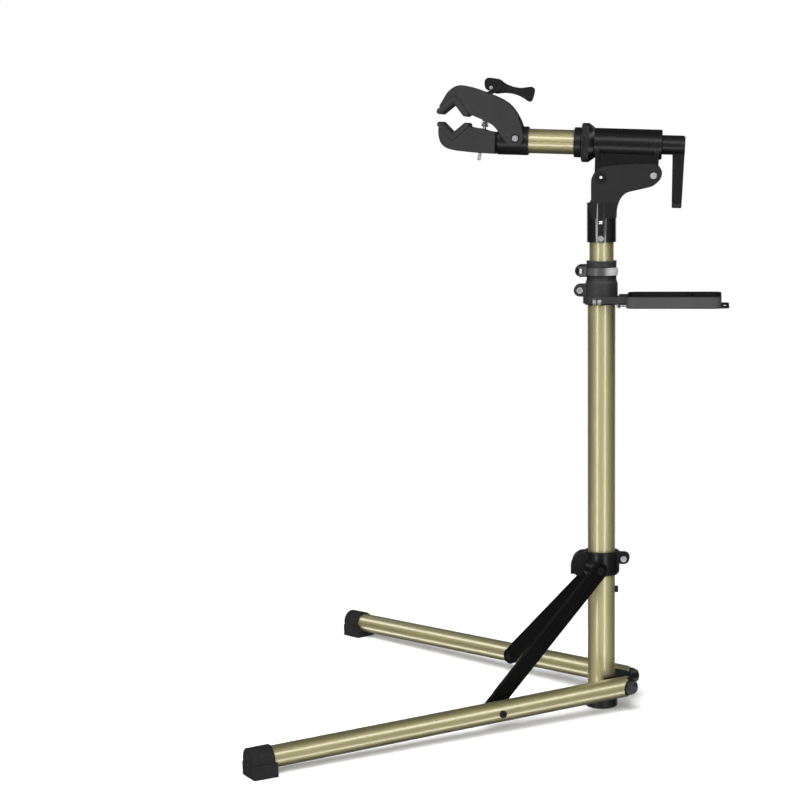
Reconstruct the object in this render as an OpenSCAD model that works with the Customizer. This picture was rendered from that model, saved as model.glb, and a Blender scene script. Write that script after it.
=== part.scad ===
// Folding bipod repair stand for bicycles. Millimetres.
// +Z is up. The origin is the centre of the mast foot's underside, on the floor.
// The clamp arm and both legs point to -X, the tray and the crank to +X.

/* [Mast] */
// outer diameter of the mast tube
mast_d = 40; // [36:1:44]
// outer diameter of the telescoping inner tube
inner_d = 35; // [32:1:36]
// wall of every aluminium tube
tube_wall = 1.5; // [1.2:0.1:2]
// height of the mast tube's upper end
mast_top = 621; // [560:1:680]
// height of the inner tube's lower end
inner_bottom = 198; // [197:1:300]

/* [Legs] */
// outer diameter of a leg tube
leg_d = 30; // [28:1:32]
// leg length from the pivot to the tube's outer end
leg_len = 603; // [500:1:640]
// angle of each leg away from the arm's plane
leg_angle = 37.5; // [30:1:45]
// distance of each leg's plane from the mast axis
leg_offset = 46; // [46:0.5:48]
// how far the pivot stands behind the mast axis along the leg
leg_back = 11; // [9:1:13]
// height of the leg pivots
pivot_z = 37; // [34:1:42]
// height of the leg axis at the foot
foot_axis_z = 22.5; // [20:0.5:26]

/* [Braces] */
// distance from the leg pivot to the brace bolt
brace_at = 220; // [200:1:240]
// height of the brace's upper pivot
ear_z = 209; // [200:1:220]
// how far the upper brace pivot stands ahead of the mast axis
ear_ahead = 22; // [20:1:26]
// width of the flat brace
brace_w = 24; // [18:1:25]
// thickness of the flat brace
brace_t = 6.6; // [4:0.1:7]

/* [Head] */
// height of the barrel's tilt bolt
tilt_z = 777.5; // [770:0.5:790]
// play tilt of the barrel in the fork, clamp end up
tilt_a = 2.33; // [0:0.01:3]
// height of the barrel axis above the tilt bolt
barrel_up = 48.1; // [46:0.1:52]
// barrel radius
barrel_r = 21.3; // [20:0.1:23]

/* [Clamp] */
// half of the jaws' width
jaw_half = 26; // [24:0.5:28]
// radius of the clamp sleeve
sleeve_r = 20.6; // [20:0.1:20.8]
// diameter of the drawbar rod
rod_d = 5; // [4:0.5:6]

/* [Tray] */
// length of the tray
tray_l = 134; // [120:1:160]
// width of the tray
tray_w = 100; // [80:1:140]
// depth of the tray
tray_h = 17; // [14:1:24]

/* [Hidden] */
$fn = 64;
fit = 0.05;
gap = 0.4;
mast_r = mast_d / 2;
mast_in = mast_r - tube_wall;
inner_r = inner_d / 2;
inner_in = inner_r - tube_wall;
leg_r = leg_d / 2;
leg_in = leg_r - tube_wall;
leg_drop = asin((pivot_z - foot_axis_z) / leg_len);
hub_face = leg_offset - leg_r - gap;
plug_face = 12;
brace_c = leg_offset - leg_r - 0.8 - brace_t / 2;
ear_x = ear_ahead + leg_back;
brace_low = [brace_at * cos(leg_drop), -brace_at * sin(leg_drop)];
brace_vec = [brace_low[0] - ear_x, brace_low[1] - (ear_z - pivot_z)];
brace_cc = norm(brace_vec);
brace_a = atan2(-brace_vec[1], brace_vec[0]);
bolt_d = 8;
brace_bolt_d = 6;
slider_r = 24.5;
slider_z0 = 198;
slider_z1 = 233.4;
lug_slit = 1.25;
slider_lug = [33, 222.5];
stop_z = 175.5;
collar_z0 = 594.6;
collar_z1 = 657.6;
ring_seat_r = 24.6;
ring_seat_z1 = 606.2;
wide_r = 23.4;
wide_z1 = 624.2;
narrow_r = 21.5;
narrow_z0 = 630.7;
qr_at = [-28.8, 643.5];
low_lug_at = [-30.7, 615.2];
lug_half = 8.4;
sleeve_z0 = 684.5;
sleeve_z1 = 741;
fork_r = 21;
rivet_z = [690, 713];
cheek_in = 16;
cheek_out = 20;
rear_bolt = [74.5, 4.3];
jaw_pivot = [-123.9, 3.1];
cam_at = [-162.5, 74.2];
rod_end = [-177.6, -29.7];
rod_vec = rod_end - cam_at;
rod_a = atan2(-rod_vec[0], -rod_vec[1]);
rod_len = norm(rod_vec);
tray_x0 = 37;
tray_z0 = 592;

// smooth open curve through the points p, n steps a span
function cr1(a, b, c, d, t) =
    0.5 * (2 * b + (c - a) * t + (2 * a - 5 * b + 4 * c - d) * t * t
    + (3 * b - a - 3 * c + d) * t * t * t);
function curve(p, n = 5) = [
    for (i = [0 : len(p) - 2], j = [0 : i == len(p) - 2 ? n : n - 1])
        cr1(p[max(i - 1, 0)], p[i], p[i + 1], p[min(i + 2, len(p) - 1)], j / n)
];

// frames ---------------------------------------------------------------
// +x along the leg to its foot, +y away from the mast, at the pivot
module at_leg() {
    rotate([0, 0, 180 + leg_angle])
        translate([-leg_back, leg_offset, pivot_z]) children();
}
// the same, turned down to the resting leg axis
module on_leg() {
    at_leg() rotate([0, leg_drop, 0]) children();
}
module far_side() {
    mirror([0, 1, 0]) children();
}
// +x along the brace from its upper pivot to its lower one
module on_brace() {
    at_leg() translate([ear_x, brace_c - leg_offset, ear_z - pivot_z])
        rotate([0, brace_a, 0]) children();
}
// +x along the barrel axis to the crank, z = 0 on that axis
module on_arm() {
    translate([0, 0, tilt_z]) rotate([0, tilt_a, 0])
        translate([0, 0, barrel_up]) children();
}
// extrusion of an x-z outline to both sides of y = 0
module slab(half) {
    rotate([90, 0, 0]) linear_extrude(2 * half, center = true) children();
}
// extrusion of an x-z outline from y0 to y1
module slab_to(y0, y1) {
    translate([0, y1, 0]) rotate([90, 0, 0]) linear_extrude(y1 - y0) children();
}
// round bar along y
module bar_y(r, y0, y1) {
    translate([0, y0, 0]) rotate([-90, 0, 0]) cylinder(r = r, h = y1 - y0);
}
// round bar along x
module bar_x(r, x0, x1) {
    translate([x0, 0, 0]) rotate([0, 90, 0]) cylinder(r = r, h = x1 - x0);
}
module hex_y(af, y0, y1) {
    translate([0, y0, 0]) rotate([-90, 0, 0]) cylinder(r = af / sqrt(3), h = y1 - y0, $fn = 6);
}
module tube_z(ro, ri, z0, z1) {
    difference() {
        translate([0, 0, z0]) cylinder(r = ro, h = z1 - z0);
        translate([0, 0, z0 - 1]) cylinder(r = ri, h = z1 - z0 + 2);
    }
}
// socket head screw along y: head outward at -y
module socket_screw(d, hd, hh, len, key) {
    difference() {
        union() {
            bar_y(hd / 2, -hh, 0);
            bar_y(d / 2, 0, len);
        }
        hex_y(key, -hh - 1, -hh * 0.35);
    }
}

// base -----------------------------------------------------------------
mast_floor = 4;
foot_h = 17;
foot_r = 23.5;
hub_z0 = 20;
hub_z1 = 50;
hub_screw_z = [27, 43];
module mast_tube() {
    color([0.70, 0.66, 0.50]) difference() {
        tube_z(mast_r, mast_in, mast_floor, mast_top);
        translate([0, 0, stop_z]) bar_x(2.6, 10, 30);
        for (z = hub_screw_z)
            translate([0, 0, z]) bar_x(2.6, 10, 30);
    }
}
module mast_foot() {
    color([0.06, 0.06, 0.06]) difference() {
        rotate_extrude() polygon([
            [0, 0], [foot_r - 1.8, 0], [foot_r - 0.5, 0.5], [foot_r, 1.8],
            [foot_r, foot_h - 1], [foot_r - 1, foot_h], [0, foot_h]
        ]);
        translate([0, 0, mast_floor]) cylinder(r = mast_r, h = foot_h);
    }
}
module hub_plan() {
    face = hub_face;
    tang = [for (t = [-13, 25])
        [face * sin(leg_angle) + t * cos(leg_angle), -face * cos(leg_angle) + t * sin(leg_angle)]];
    difference() {
        polygon([
            [6, -22], tang[0] + [-3, 1.5], tang[0] + [0, 0], [tang[1][0], tang[1][1]],
            [44, (44 * sin(leg_angle) - face) / cos(leg_angle)],
            [44, (face - 44 * sin(leg_angle)) / cos(leg_angle)],
            [tang[1][0], -tang[1][1]], [tang[0][0], -tang[0][1]], tang[0] + [-3, -2 * tang[0][1] - 1.5],
            [6, 22]
        ]);
        circle(r = mast_r);
    }
}
module hub_block() {
    color([0.09, 0.09, 0.10]) difference() {
        translate([0, 0, hub_z0]) linear_extrude(hub_z1 - hub_z0) hub_plan();
        for (m = [0, 1]) mirror([0, m, 0]) at_leg()
            bar_y(bolt_d / 2, -leg_offset + 18, 0);
        for (z = hub_screw_z) translate([0, 0, z]) {
            bar_x(2.5, 15, 60);
            bar_x(4.6, 39, 60);
        }
    }
}
module hub_screws() {
    color([0.6, 0.6, 0.62]) for (z = hub_screw_z) translate([0, 0, z]) difference() {
        union() {
            bar_x(2.5, 16, 39);
            bar_x(4.5, 39, 43.5);
        }
        bar_x(2.2, 41, 50, $fn = 6);
    }
}
module pivot_bolts() {
    color([0.16, 0.16, 0.17]) for (m = [0, 1]) mirror([0, m, 0]) at_leg() {
        bar_y(bolt_d / 2, -leg_offset + 19, plug_face + 2);
        hex_y(13, plug_face + gap + 1.5, plug_face + gap + 6.8);
        bar_y(8.5, plug_face + gap, plug_face + gap + 1.5);
    }
}
module stop_screw() {
    color([0.30, 0.30, 0.31]) translate([0, 0, stop_z]) {
        difference() {
            bar_x(4.85, mast_r, mast_r + 4.5);
            bar_x(2.3, mast_r + 2.2, mast_r + 6, $fn = 6);
        }
        bar_x(2.5, mast_r - 6, mast_r + 0.5);
    }
}
// lug plates of a clamp ring with a slit between them, centred at p
module lugs(p, r, reach) {
    slab(lug_half) union() {
        translate(p) circle(r = r);
        translate([min(p[0], reach), p[1] - r]) square([abs(p[0] - reach), 2 * r]);
    }
}
module collar_body() {
    rotate_extrude() polygon([
        [15, collar_z0], [ring_seat_r - 0.6, collar_z0], [ring_seat_r, collar_z0 + 0.6],
        [ring_seat_r, ring_seat_z1 - 0.6], [ring_seat_r - 0.6, ring_seat_z1],
        [wide_r, ring_seat_z1], [wide_r, wide_z1], [narrow_r, narrow_z0],
        [narrow_r, collar_z1 - 2.2], [narrow_r + 0.4, collar_z1 - 1.8],
        [narrow_r + 0.4, collar_z1 - 0.4], [narrow_r, collar_z1], [15, collar_z1]
    ]);
    lugs(qr_at, qr_disc_r, -15);
    lugs(low_lug_at, 9, -15);
}
module collar() {
    color([0.07, 0.07, 0.07]) difference() {
        collar_body();
        translate([0, 0, collar_z0 - 1]) cylinder(r = mast_r, h = mast_top - collar_z0 + 1);
        translate([0, 0, mast_top - 1]) cylinder(r = inner_r + fit, h = 60);
        translate([-45, -lug_slit, ring_seat_z1]) cube([35, 2 * lug_slit, 60]);
        translate([qr_at[0], 0, qr_at[1]]) bar_y(3, -20, 20);
        translate([low_lug_at[0], 0, low_lug_at[1]]) bar_y(2.5, -20, 20);
    }
}
module collar_screw() {
    color([0.70, 0.70, 0.72]) translate([low_lug_at[0], 0, low_lug_at[1]]) {
        translate([0, -lug_half, 0]) socket_screw(5, 9, 4.4, 2 * lug_half + 5, 4);
        difference() {
            hex_y(8, lug_half, lug_half + 4);
            bar_y(2.5, 0, 40);
        }
    }
}
qr_pin_y = -15.7;
qr_disc_r = 8.9;
qr_pin_r = 1.75;
qr_eye_r = 3.3;
qr_eye_half = 3.5;
qr_root_r = 4.4;
qr_root_half = 6.6;
qr_washer_y = -10.8;
module qr_washer() {
    color([0.08, 0.08, 0.08]) translate([qr_at[0], 0, qr_at[1]]) difference() {
        union() {
            bar_y(qr_disc_r, qr_washer_y + 0.8, -lug_half);
            bar_y(qr_disc_r - 0.7, qr_washer_y, -lug_half);
        }
        bar_y(3, -20, 0);
    }
}
module qr_bolt() {
    color([0.45, 0.45, 0.47]) translate([qr_at[0], 0, qr_at[1]]) difference() {
        union() {
            bar_y(3, qr_pin_y, lug_half + 8);
            translate([0, qr_pin_y, 0]) cylinder(r = qr_eye_r, h = 2 * qr_eye_half, center = true);
        }
        translate([0, qr_pin_y, 0]) cylinder(r = qr_pin_r, h = 30, center = true);
    }
}
module qr_pin() {
    color([0.7, 0.7, 0.72]) translate([qr_at[0], qr_pin_y, qr_at[1]])
        cylinder(r = qr_pin_r, h = 2 * qr_root_half - 0.6, center = true, $fn = 32);
}
module qr_nut() {
    color([0.10, 0.10, 0.10]) translate([qr_at[0], 0, qr_at[1]]) difference() {
        union() {
            bar_y(7.5, lug_half, lug_half + 7);
            bar_y(6, lug_half + 7, lug_half + 9.5);
            for (a = [0 : 30 : 330]) rotate([0, a, 0])
                translate([7.4, 0, 0]) bar_y(0.9, lug_half + 1, lug_half + 6, $fn = 16);
        }
        bar_y(3, 0, 40);
    }
}
// quick release lever, wrapped round the collar
qr_arc_in = 23.0;
qr_arc_out = 26.2;
qr_band_z0 = -6.2;
qr_band_h = 10.8;
qr_end_a = -24.2;
module qr_lever() {
    color([0.20, 0.20, 0.21]) difference() {
        union() {
            // forked root round the pin
            translate([qr_at[0], qr_pin_y, qr_at[1]]) {
                cylinder(r = qr_root_r, h = 2 * qr_root_half, center = true);
                translate([0, -qr_root_r, -qr_root_half]) cube([8.2, 6.4, 2 * qr_root_half]);
            }
            // curved band
            translate([0, 0, qr_at[1] + qr_band_z0]) intersection() {
                difference() {
                    cylinder(r = qr_arc_out, h = qr_band_h);
                    translate([0, 0, -1]) cylinder(r = qr_arc_in, h = qr_band_h + 2);
                }
                linear_extrude(20) polygon([[0, 0], [-36, -17.4], [-36, -40], [30, -40], [30, -13.5]]);
            }
            // rounded free end
            rotate([0, 0, qr_end_a]) translate([(qr_arc_in + qr_arc_out) / 2, 0, qr_at[1] + qr_band_z0])
                cylinder(r = (qr_arc_out - qr_arc_in) / 2, h = qr_band_h, $fn = 32);
        }
        // slot for the skewer's eye through its swing, and the pin
        translate([qr_at[0], qr_pin_y, qr_at[1]]) {
            translate([-12, -12, -qr_eye_half - gap]) cube([12 + qr_eye_r + gap, 24, 2 * (qr_eye_half + gap)]);
            cylinder(r = qr_pin_r + fit, h = 30, center = true, $fn = 32);
        }
        // clearance for the washer and for the narrow part of the collar
        translate([qr_at[0], 0, qr_at[1]]) bar_y(qr_disc_r + gap, qr_washer_y - gap, 0);
        translate([0, 0, qr_at[1] - 12]) cylinder(r = narrow_r + 1, h = 24);
    }
}

// legs -----------------------------------------------------------------
notch_x = 12.5;
leg_bolt_r = 5.4;
leg_bolt_sink = 1;
brace_bolt_in = brace_c + brace_t / 2 - leg_offset + gap;
module leg_tube() {
    color([0.70, 0.66, 0.50]) on_leg() difference() {
        intersection() {
            difference() {
                bar_x(leg_r, -leg_r, leg_len);
                bar_x(leg_in, -leg_r - 1, leg_len + 1);
            }
            union() {
                bar_y(leg_r, -20, 20);
                translate([0, -20, -20]) cube([leg_len + 1, 40, 40]);
            }
        }
        // round notch that bares the pivot plug on the outer side
        translate([-20, 1, -20]) cube([20 + notch_x - 11, 20, 40]);
        translate([notch_x - 11, 0, 0]) bar_y(11, 0, 20);
        translate([notch_x - 13, 1, -20]) cube([2.1, 20, 40]);
        bar_y(bolt_d / 2 + 2, -20, 0);
        translate([brace_at, 0, 0]) {
            bar_y(brace_bolt_d / 2, -20, 20);
            bar_y(leg_bolt_r, leg_r - leg_bolt_sink, 20);
        }
    }
}
module leg_plug() {
    color([0.07, 0.07, 0.07]) on_leg() difference() {
        intersection() {
            bar_x(leg_in, -leg_r, 30);
            union() {
                bar_y(leg_in, -20, plug_face);
                translate([0, -20, -20]) cube([40, 20 + plug_face, 40]);
            }
        }
        bar_y(bolt_d / 2 + fit, -20, 20);
    }
}
foot_in = 28;
module leg_foot() {
    color([0.05, 0.05, 0.05]) on_leg() difference() {
        union() {
            bar_x(leg_r + 2.6, leg_len - foot_in, leg_len + 3.4);
            intersection() {
                rotate([0, -leg_drop, 0]) translate([0, -20.2, -pivot_z]) cube([leg_len + 20, 40.4, 60]);
                translate([leg_len - foot_in - 3.4, -18.4, -40]) cube([foot_in + 7.6, 36.8, 36]);
            }
        }
        bar_x(leg_r, 0, leg_len);
        // flat sole on the floor
        rotate([0, -leg_drop, 0]) translate([leg_len - 60, -40, -pivot_z - 40]) cube([140, 80, 40]);
    }
}
module leg_bolt() {
    color([0.14, 0.14, 0.14]) on_leg() translate([brace_at, 0, 0]) {
        bar_y(brace_bolt_d / 2, -leg_r - 0.3, leg_r);
        difference() {
            union() {
                bar_y(leg_bolt_r, leg_r - leg_bolt_sink, leg_r + 1.4);
                bar_y(4.6, leg_r + 1.4, leg_r + 3.2);
            }
            hex_y(4, leg_r + 1.2, leg_r + 5);
        }
    }
}

// slider and braces ----------------------------------------------------
boss_x = -44;
boss_half = 16;
ear_r = 11.6;
ear_face = brace_c - brace_t / 2 - gap;
module ear_axis() {
    rotate([0, 0, 180 + leg_angle]) translate([ear_ahead, 0, ear_z]) children();
}
module slider_collar() {
    color([0.08, 0.08, 0.09]) difference() {
        union() {
            rotate_extrude() polygon([
                [mast_r + fit, slider_z0], [slider_r - 2, slider_z0], [slider_r - 0.6, slider_z0 + 0.6],
                [slider_r, slider_z0 + 2], [slider_r, slider_z1 - 3.4], [slider_r + 0.7, slider_z1 - 2.8],
                [slider_r + 0.7, slider_z1 - 0.7], [slider_r, slider_z1], [mast_r + fit, slider_z1]
            ]);
            slab(boss_half) union() {
                translate([-26, slider_z0 + 2]) square([16, 31]);
                translate([boss_x + 18, slider_z0 + 15]) circle(r = 18);
                translate([boss_x, slider_z0 + 2]) square([30, 13]);
            }
            for (m = [0, 1]) mirror([0, m, 0]) ear_axis() bar_y(ear_r, 4, ear_face);
            lugs(slider_lug, 8, 15);
            translate([15, -lug_half, slider_z0 + 4]) cube([11, 2 * lug_half, 30]);
        }
        translate([0, 0, slider_z0 - 1]) cylinder(r = mast_r + fit, h = 60);
        // underside and end of the boss
        translate([boss_x - 20, -40, slider_z0 - 38]) cube([60, 80, 38]);
        translate([10, -lug_slit, slider_z0 - 1]) cube([40, 2 * lug_slit, 60]);
        translate([slider_lug[0], 0, slider_lug[1]]) bar_y(2.5, -20, 20);
        for (m = [0, 1]) mirror([0, m, 0]) ear_axis() bar_y(2.5, 8, 40);
    }
}
module slider_screw() {
    color([0.72, 0.72, 0.74]) translate([slider_lug[0], 0, slider_lug[1]]) {
        translate([0, -lug_half, 0]) socket_screw(5, 8.6, 4.4, 2 * lug_half + 5, 4);
        difference() {
            hex_y(8, lug_half, lug_half + 4);
            bar_y(2.5, 0, 40);
        }
    }
}
brace_screw_d = 7;
module brace_screws() {
    color([0.10, 0.10, 0.10]) for (m = [0, 1]) mirror([0, m, 0]) ear_axis() difference() {
        union() {
            bar_y(2.5, 9, ear_face + 1);
            bar_y(brace_screw_d / 2, ear_face, ear_face + brace_t - 1.2);
            bar_y(5.6, ear_face + brace_t - 1.6, ear_face + brace_t + gap);
        }
        hex_y(4, ear_face + brace_t - 1.6, ear_face + brace_t + 4);
    }
}
module brace() {
    color([0.06, 0.06, 0.06]) on_brace() difference() {
        union() {
            slab(brace_t / 2) union() {
                circle(r = brace_w / 2);
                translate([0, -brace_w / 2]) square([brace_cc - 20, brace_w]);
            }
            slab(brace_t / 2 - 0.7) union() {
                translate([brace_cc - 21, -brace_w / 2]) square([21, brace_w]);
                translate([brace_cc, 0]) circle(r = brace_w / 2);
            }
        }
        bar_y(brace_screw_d / 2 + 2 * fit, -10, 10);
        // counterbore for the screw head
        bar_y(6, brace_t / 2 - 2.4, 10);
        translate([brace_cc, 0, 0]) bar_y(3, -10, 10);
    }
}
module brace_nut() {
    color([0.12, 0.12, 0.12]) on_brace() translate([brace_cc, 0, 0]) {
        bar_y(3, -brace_t / 2 + 0.7, brace_t / 2 - 0.7);
        bar_y(4.6, -brace_t / 2 - 0.9, -brace_t / 2 + 0.7);
    }
}

// telescoping tube and fork --------------------------------------------
inner_top = sleeve_z1 - 2;
module guide_bush() {
    color([0.75, 0.75, 0.72]) difference() {
        translate([0, 0, inner_bottom - 4]) cylinder(r = mast_in - fit, h = 34);
        translate([0, 0, inner_bottom - gap]) cylinder(r = inner_r + fit, h = 60);
        cylinder(r = inner_in - 2, h = 400);
    }
}
module inner_tube() {
    color([0.70, 0.66, 0.50]) difference() {
        tube_z(inner_r, inner_in, inner_bottom, inner_top);
        for (z = rivet_z) translate([0, 0, z]) bar_y(2.5, -25, 0);
    }
}
module tube_plug() {
    color([0.08, 0.08, 0.08]) difference() {
        translate([0, 0, inner_bottom]) cylinder(r = inner_in, h = 14);
        translate([0, 0, inner_bottom + 3]) cylinder(r = inner_in - 2.5, h = 14);
        cylinder(r = 4, h = 400);
    }
}
module cheek_outline() {
    translate([0, tilt_z]) polygon(concat(
        [[-18, -39.5], [-14, -31.5]],
        curve([[-14, -29.5], [-14, -7.5], [-12.5, 0.5], [-8, 8], [-1, 12.9], [8, 15.1],
            [38.5, 17.7], [73.3, 17.8]]),
        curve([[73.3, 17.8], [80.8, 14.7], [85.0, 8], [85.3, 1.5], [82.6, -5.3], [77, -10.9],
            [70, -14.5], [54, -18.3], [38.5, -21.9], [30, -27.5], [24.4, -36.1], [21.4, -47.5], [21, -58.5]]),
        [[10, -69.5], [-10, -69.5]]
    ));
}
module head_fork() {
    color([0.07, 0.07, 0.08]) difference() {
        union() {
            translate([0, 0, sleeve_z0]) cylinder(r = fork_r, h = sleeve_z1 - sleeve_z0);
            intersection() {
                slab(cheek_out) cheek_outline();
                union() {
                    translate([0, 0, sleeve_z1 - 10]) cylinder(r = fork_r, h = 8);
                    translate([-60, -cheek_out, sleeve_z1 - 22]) cube([200, 2 * cheek_out, 120]);
                }
            }
        }
        translate([0, 0, sleeve_z0 - 1]) cylinder(r = inner_r, h = inner_top - sleeve_z0 + 1);
        // space between the cheeks
        translate([-60, -cheek_in, sleeve_z1 + 11]) cube([200, 2 * cheek_in, 60]);
        translate([22, -cheek_in, sleeve_z1 - 33]) cube([200, 2 * cheek_in, 60]);
        translate([0, 0, tilt_z]) bar_y(4, -30, 30);
        translate([0, 0, tilt_z]) rotate([0, tilt_a, 0])
            translate([rear_bolt[0], 0, rear_bolt[1]]) bar_y(3, -30, 30);
        for (z = rivet_z) translate([0, 0, z]) bar_y(2.5, -30, 0);
        // seats of the dome and of the screw head
        translate([0, 0, rivet_z[1]]) bar_y(dome_r, -30, -fork_r + dome_sink);
        translate([0, 0, rivet_z[0]]) bar_y(fork_screw_r, -30, -fork_r + 1);
    }
}
dome_r = 3.5;
dome_sink = 0.6;
fork_screw_r = 4.2;
module fork_rivets() {
    color([0.75, 0.75, 0.76]) {
        translate([0, 0, rivet_z[1]]) {
            bar_y(2.5, -fork_r, -inner_in + 2);
            translate([0, -fork_r + dome_sink, 0]) intersection() {
                translate([0, 1.6, 0]) sphere(r = 3.8);
                bar_y(dome_r, -6, 0);
            }
        }
        translate([0, 0, rivet_z[0]]) difference() {
            union() {
                bar_y(2.5, -fork_r, -inner_in + 2);
                bar_y(fork_screw_r, -fork_r - 1.1, -fork_r + 1);
            }
            translate([-5, -fork_r - 2, -0.5]) cube([10, 1.7, 1]);
            translate([-0.5, -fork_r - 2, -5]) cube([1, 1.7, 10]);
        }
    }
}
module yoke_bolt_front() {
    color([0.12, 0.12, 0.12]) translate([0, 0, tilt_z]) {
        difference() {
            union() {
                bar_y(4, -cheek_out, cheek_out + 2);
                bar_y(6.6, -cheek_out - 4.4, -cheek_out);
                bar_y(8.2, -cheek_out - 1.2, -cheek_out);
                bar_y(8.2, cheek_out, cheek_out + 1.2);
                hex_y(13, cheek_out + 1.2, cheek_out + 7);
            }
            hex_y(5, -cheek_out - 6, -cheek_out - 1.6);
        }
    }
}
module yoke_bolt_rear() {
    color([0.75, 0.75, 0.77]) translate([0, 0, tilt_z]) rotate([0, tilt_a, 0])
        translate([rear_bolt[0], 0, rear_bolt[1]]) difference() {
            union() {
                bar_y(3, -cheek_out, cheek_out + 2);
                bar_y(4.6, -cheek_out - 2.6, -cheek_out);
                hex_y(10, cheek_out, cheek_out + 4.6);
            }
            hex_y(4, -cheek_out - 4, -cheek_out - 1);
        }
}

// barrel, lock ring and crank, in the arm's frame ------------------------
barrel_x0 = -11;
barrel_x1 = 84;
spigot_x0 = -24;
spigot_r = 19.4;
lug_x0 = -9.5;
lug_x1 = 80;
lug_y = 15.4;
barrel_bore = inner_r + 2 * fit;
module barrel() {
    color([0.10, 0.10, 0.11]) on_arm() difference() {
        union() {
            bar_x(barrel_r, barrel_x0, barrel_x1 - 1);
            bar_x(barrel_r - 1, barrel_x1 - 1, barrel_x1);
            bar_x(spigot_r, spigot_x0, barrel_x0);
            // box lug between the fork's cheeks
            slab(lug_y) union() {
                translate([lug_x0, -barrel_up + 6]) square([lug_x1 - lug_x0, barrel_up - 14]);
                translate([0, -barrel_up]) circle(r = 9.5);
                translate([rear_bolt[0] - 4, rear_bolt[1] - barrel_up]) circle(r = 9.5);
                translate([0, -barrel_up - 9.5]) square([rear_bolt[0] - 4, 20]);
            }
            // end ribs that hold the barrel
            for (x = [lug_x0, lug_x1 - 5]) intersection() {
                bar_x(barrel_r + 1.4, x, x + 5);
                translate([x - 1, -40, -barrel_r - 9]) cube([7, 80, barrel_r + 13]);
            }
            for (x = [lug_x0, lug_x1 - 5])
                translate([x, -barrel_r + 1.6, -barrel_r - 5.6]) cube([5, 2 * barrel_r - 3.2, 16]);
        }
        bar_x(barrel_bore, spigot_x0 - 1, barrel_x1 - 5);
        bar_x(5 + 2 * fit, 0, 100);
        // hollow of the lug, open underneath
        translate([lug_x0 + 5, -lug_y + 3.4, -barrel_up - 20])
            cube([lug_x1 - lug_x0 - 10, 2 * lug_y - 6.8, barrel_up + 20 - barrel_r - 2.5]);
        translate([0, 0, -barrel_up]) bar_y(4 + fit, -30, 30);
        // open hook for the rear bolt
        translate([rear_bolt[0], 0, rear_bolt[1] - barrel_up]) bar_y(3.3, -30, 30);
        translate([rear_bolt[0] - 3.6, -30, -barrel_up - 30]) cube([20, 60, 30 + rear_bolt[1]]);
    }
}
ring_x0 = -30.2;
ring_x1 = barrel_x0 - gap;
ring_r = 28;
module lock_ring() {
    color([0.06, 0.06, 0.06]) on_arm() difference() {
        rotate([0, 90, 0]) rotate_extrude() polygon([
            [10, ring_x0], [ring_r - 1.4, ring_x0], [ring_r, ring_x0 + 1.4], [ring_r, -19.4],
            [ring_r - 1.4, -18], [barrel_r + 0.5, ring_x1], [10, ring_x1]
        ]);
        bar_x(barrel_bore, ring_x0 - 1, 0);
        bar_x(spigot_r + 0.1, spigot_x0 - gap, 0);
    }
}
crank_x0 = barrel_x1 + gap;
crank_x1 = 116.6;
crank_r = 13.8;
module crank() {
    color([0.07, 0.07, 0.07]) on_arm() difference() {
        union() {
            bar_x(crank_r, crank_x0, crank_x1 - 1.5);
            bar_x(crank_r - 1.2, crank_x1 - 1.5, crank_x1);
            slab(6.5) polygon([[98.5, 0], [99.6, -20], [101.2, -80.2], [115.4, -80.2], [116.4, -10], [116, 0]]);
            slab(5.4) polygon([[99, 0], [101.4, -82.2], [115.2, -82.2], [116.4, 0]]);
        }
        bar_x(5, crank_x0 - 1, 106);
        slab(3.4) polygon([[103, -20], [104, -90], [112.6, -90], [113.2, -20]]);
    }
}
module crank_cap() {
    color([0.04, 0.04, 0.04]) on_arm() union() {
        slab(6.5) polygon([[101.2, -82.6], [101.5, -88], [102.5, -89], [114.2, -89], [115.2, -88], [115.4, -82.6]]);
        slab(3.3) polygon([[104.3, -70], [104.3, -83], [112.4, -83], [112.6, -70]]);
    }
}
module crank_spindle() {
    color([0.5, 0.5, 0.52]) on_arm() {
        bar_x(5, 62, 106);
        bar_x(8, 56, 62);
    }
}

// arm, clamp sleeve and jaws --------------------------------------------
arm_x1 = 54;
arm_x0 = -146;
sleeve_x0 = -150.9;
sleeve_x1 = -105.7;
module arm_tube() {
    color([0.70, 0.66, 0.50]) on_arm() difference() {
        bar_x(inner_r, arm_x0, arm_x1);
        bar_x(inner_in, arm_x0 - 1, arm_x1 + 1);
        translate([jaw_pivot[0], 0, jaw_pivot[1]]) bar_y(3, -30, 30);
    }
}
module front_collar() {
    color([0.06, 0.06, 0.06]) on_arm() difference() {
        rotate([0, 90, 0]) rotate_extrude() polygon([
            [10, -40.8], [20.7, -40.8], [21.5, -40], [21.5, -31.3], [20.8, ring_x0 - gap], [10, ring_x0 - gap]
        ]);
        bar_x(inner_r, -50, 0);
    }
}
vee_up = [[-212.8, 56.3], [-233.4, 38.6], [-196.6, 36.2]];
vee_low = [[-214.5, 2.6], [-232.6, 20.1], [-195.3, 19.6]];
vee_t = 4.3;
vee_low_t = 3.9;
liner_drop = 3.1;
module stadium(a, b, r) {
    v = b - a;
    translate(a) rotate(atan2(v[1], v[0])) {
        translate([0, -r]) square([norm(v), 2 * r]);
        circle(r = r, $fn = 32);
        translate([norm(v), 0]) circle(r = r, $fn = 32);
    }
}
module vee(p, r) {
    stadium(p[0], p[1], r);
    stadium(p[0], p[2], r);
}
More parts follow.
